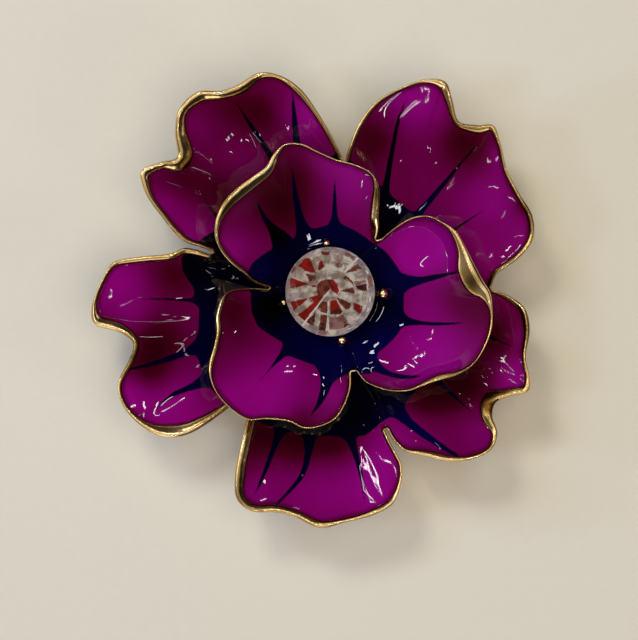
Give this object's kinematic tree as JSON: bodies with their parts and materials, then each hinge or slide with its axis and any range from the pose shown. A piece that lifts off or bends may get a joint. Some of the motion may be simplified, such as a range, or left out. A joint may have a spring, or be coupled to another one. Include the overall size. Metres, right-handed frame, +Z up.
{
  "type": "enamel flower brooch",
  "caption": "Flower brooch of gold-coloured cast layers of ruffled petals with magenta enamel, dark veins, a round rhinestone and a bar pin.",
  "frame": {"origin": "on the surface the brooch lies on, under the middle of its box", "axes": "+Z up through the flower's face; +X to the picture's right and along the pin, +Y to the picture's top"},
  "size_m": [0.05, 0.0512, 0.0135],
  "materials": {
    "gilt_metal": "polished gold-coloured plating",
    "pin_metal": "satin gold-coloured plating",
    "petal_enamel": "glossy, magenta with navy veins",
    "crystal": "faceted, foil-backed"
  },
  "bodies": {
    "root": {"pin_back": "pin_metal", "outer_petals": "gilt_metal", "outer_enamel": "petal_enamel", "inner_petals": "gilt_metal", "inner_enamel": "petal_enamel", "setting": "gilt_metal", "stone": "crystal"}
  },
  "joints": []
}
